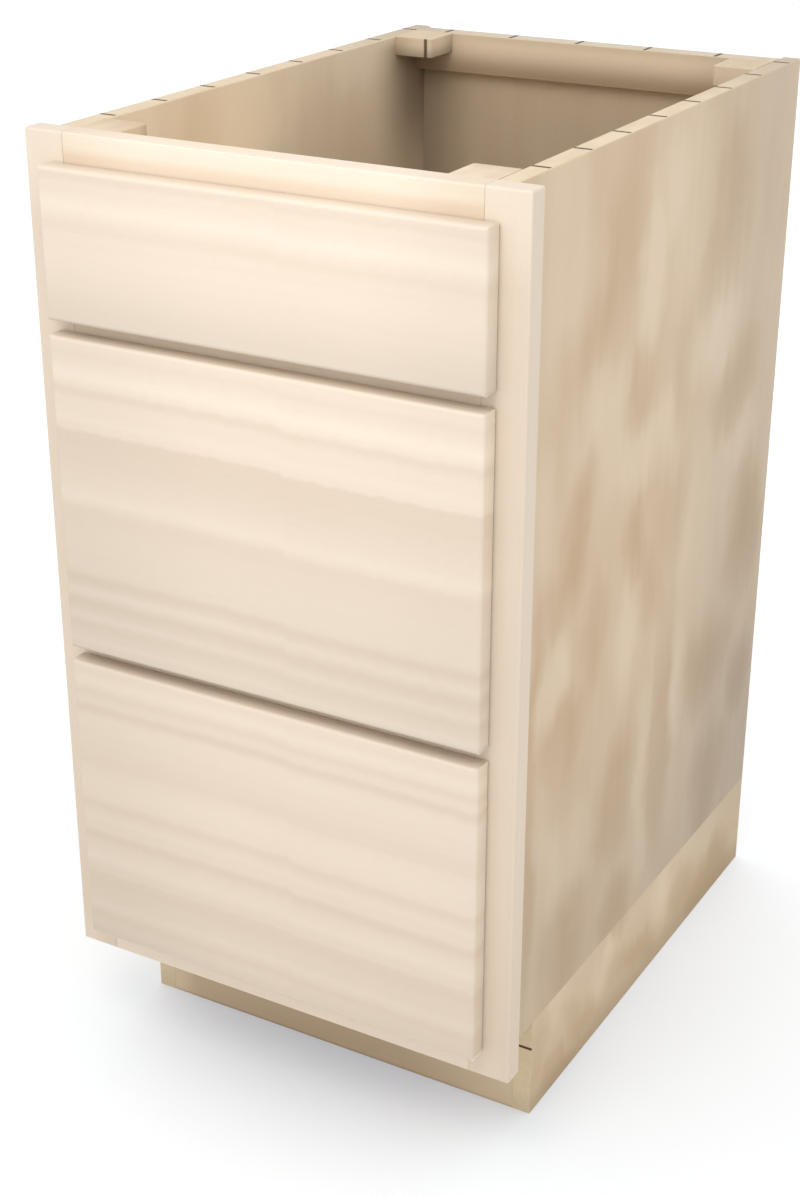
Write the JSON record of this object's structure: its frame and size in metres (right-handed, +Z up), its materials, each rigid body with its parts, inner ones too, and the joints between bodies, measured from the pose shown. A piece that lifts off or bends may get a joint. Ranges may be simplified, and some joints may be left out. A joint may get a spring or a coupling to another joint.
{
  "type": "base cabinet with drawers",
  "caption": "Kitchen base cabinet with an open top, pale maple face frame, recessed toe space and plain slab drawers on telescopic slides.",
  "frame": {"origin": "on the floor, in the middle of the footprint with the drawers closed", "axes": "+X to the right as you face the drawers, +Y to the back, +Z up"},
  "size_m": [0.4572, 0.6286, 0.8763],
  "materials": {
    "finished_maple": "satin lacquer over pale maple",
    "panel_maple": "matt maple panel",
    "drawer_box_birch": "clear sealed birch",
    "zinc_plated_steel": "zinc plated",
    "screw_steel": "zinc plated",
    "bumper": "clear soft"
  },
  "bodies": {
    "cabinet": {"left_stile": "finished_maple", "right_stile": "finished_maple", "top_rail": "finished_maple", "upper_mid_rail": "finished_maple", "lower_mid_rail": "finished_maple", "bottom_rail": "finished_maple", "left_side_panel": "panel_maple", "right_side_panel": "panel_maple", "bottom_panel": "panel_maple", "back_panel": "panel_maple", "hanging_rail": "panel_maple", "front_left_corner_block": "panel_maple", "front_right_corner_block": "panel_maple", "back_left_corner_block": "panel_maple", "back_right_corner_block": "panel_maple", "left_base_strip": "panel_maple", "right_base_strip": "panel_maple", "toe_kick_board": "panel_maple", "rear_base_rail": "panel_maple", "frame_bumpers": "bumper", "slide_screws": "screw_steel", "top_left_cabinet_channel": "zinc_plated_steel", "top_right_cabinet_channel": "zinc_plated_steel", "middle_left_cabinet_channel": "zinc_plated_steel", "middle_right_cabinet_channel": "zinc_plated_steel", "bottom_left_cabinet_channel": "zinc_plated_steel", "bottom_right_cabinet_channel": "zinc_plated_steel"},
    "top_drawer": {"top_drawer_front": "finished_maple", "top_box_front": "drawer_box_birch", "top_box_back": "drawer_box_birch", "top_box_left_side": "drawer_box_birch", "top_box_right_side": "drawer_box_birch", "top_box_bottom": "drawer_box_birch", "top_left_drawer_channel": "zinc_plated_steel", "top_right_drawer_channel": "zinc_plated_steel", "top_front_screws": "screw_steel"},
    "top_slide_middle": {"top_left_middle_channel": "zinc_plated_steel", "top_right_middle_channel": "zinc_plated_steel"},
    "middle_drawer": {"middle_drawer_front": "finished_maple", "middle_box_front": "drawer_box_birch", "middle_box_back": "drawer_box_birch", "middle_box_left_side": "drawer_box_birch", "middle_box_right_side": "drawer_box_birch", "middle_box_bottom": "drawer_box_birch", "middle_left_drawer_channel": "zinc_plated_steel", "middle_right_drawer_channel": "zinc_plated_steel", "middle_front_screws": "screw_steel"},
    "middle_slide_middle": {"middle_left_middle_channel": "zinc_plated_steel", "middle_right_middle_channel": "zinc_plated_steel"},
    "bottom_drawer": {"bottom_drawer_front": "finished_maple", "bottom_box_front": "drawer_box_birch", "bottom_box_back": "drawer_box_birch", "bottom_box_left_side": "drawer_box_birch", "bottom_box_right_side": "drawer_box_birch", "bottom_box_bottom": "drawer_box_birch", "bottom_left_drawer_channel": "zinc_plated_steel", "bottom_right_drawer_channel": "zinc_plated_steel", "bottom_front_screws": "screw_steel"},
    "bottom_slide_middle": {"bottom_left_middle_channel": "zinc_plated_steel", "bottom_right_middle_channel": "zinc_plated_steel"}
  },
  "joints": [
    {"name": "top_drawer_slide", "type": "slide", "parent": "cabinet", "child": "top_drawer", "axis": [0, -1, 0], "range_m": [0, 0.288]},
    {"name": "top_middle_channel_slide", "type": "slide", "parent": "cabinet", "child": "top_slide_middle", "axis": [0, -1, 0], "range_m": [0, 0.144]},
    {"name": "middle_drawer_slide", "type": "slide", "parent": "cabinet", "child": "middle_drawer", "axis": [0, -1, 0], "range_m": [0, 0.44]},
    {"name": "middle_middle_channel_slide", "type": "slide", "parent": "cabinet", "child": "middle_slide_middle", "axis": [0, -1, 0], "range_m": [0, 0.22]},
    {"name": "bottom_drawer_slide", "type": "slide", "parent": "cabinet", "child": "bottom_drawer", "axis": [0, -1, 0], "range_m": [0, 0.44]},
    {"name": "bottom_middle_channel_slide", "type": "slide", "parent": "cabinet", "child": "bottom_slide_middle", "axis": [0, -1, 0], "range_m": [0, 0.22]}
  ],
  "couplings": [
    {"joint": "top_middle_channel_slide", "follows": "top_drawer_slide", "ratio": 0.5},
    {"joint": "middle_middle_channel_slide", "follows": "middle_drawer_slide", "ratio": 0.5},
    {"joint": "bottom_middle_channel_slide", "follows": "bottom_drawer_slide", "ratio": 0.5}
  ]
}
